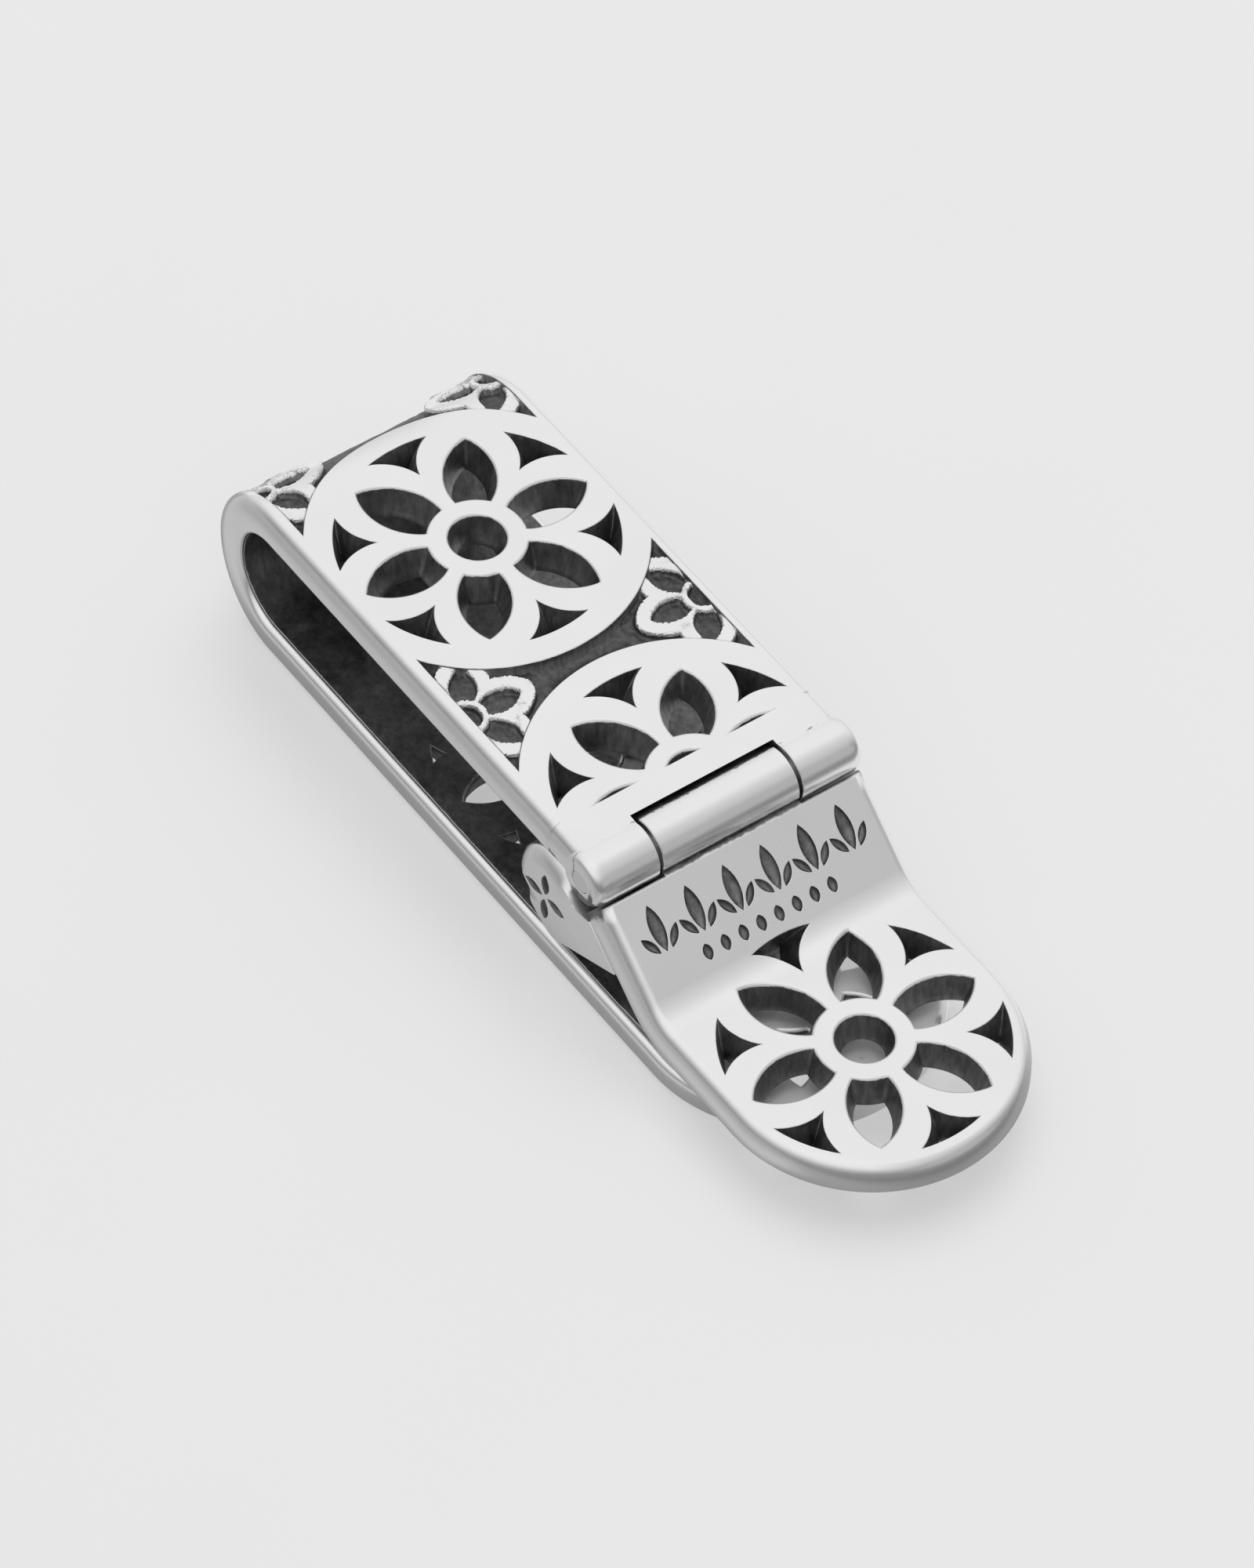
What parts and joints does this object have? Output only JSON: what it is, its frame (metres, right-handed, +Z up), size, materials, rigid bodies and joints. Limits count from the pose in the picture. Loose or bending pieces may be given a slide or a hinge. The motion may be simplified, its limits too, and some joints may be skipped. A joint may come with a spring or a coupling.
{
  "type": "money clip",
  "caption": "Hinged money clip with a pierced rosette strap bent into a U and a lever that swings an over-centre cam onto the notes.",
  "frame": {"origin": "under the middle of the clip's bounding box, on the surface that the lower leaf rests on", "axes": "+X from the bend to the thumb tab, +Z up out of the upper leaf, Y along the hinge pin"},
  "size_m": [0.0635, 0.0194, 0.0121],
  "materials": {
    "strap_silver": "polished sterling silver with a dark oxidised ground in the recesses",
    "hinge_silver": "polished sterling silver, lightly scratched, with small casting pits",
    "pin_steel": "drawn wire, ends filed flush",
    "lever_silver": "polished sterling silver with oxidised hole walls and a satin slope",
    "cam_silver": "satin sterling silver"
  },
  "bodies": {
    "lower_leaf": {"lower_strap": "strap_silver"},
    "upper_leaf": {"upper_strap": "strap_silver", "hinge_plate": "hinge_silver", "hinge_pin": "pin_steel"},
    "lever_arm": {"lever": "lever_silver", "cam_bar": "cam_silver"}
  },
  "joints": [
    {"name": "leaf_flex", "type": "hinge", "parent": "lower_leaf", "child": "upper_leaf", "pos_m": [-0.0304, 0, 0.00598], "axis": [0, -1, 0], "range_deg": [0, 3], "stiffness_Nm_per_rad": 2},
    {"name": "lever_turn", "type": "hinge", "parent": "upper_leaf", "child": "lever_arm", "pos_m": [0.00641, 0, 0.01022], "axis": [0, -1, 0], "range_deg": [0, 138]}
  ]
}
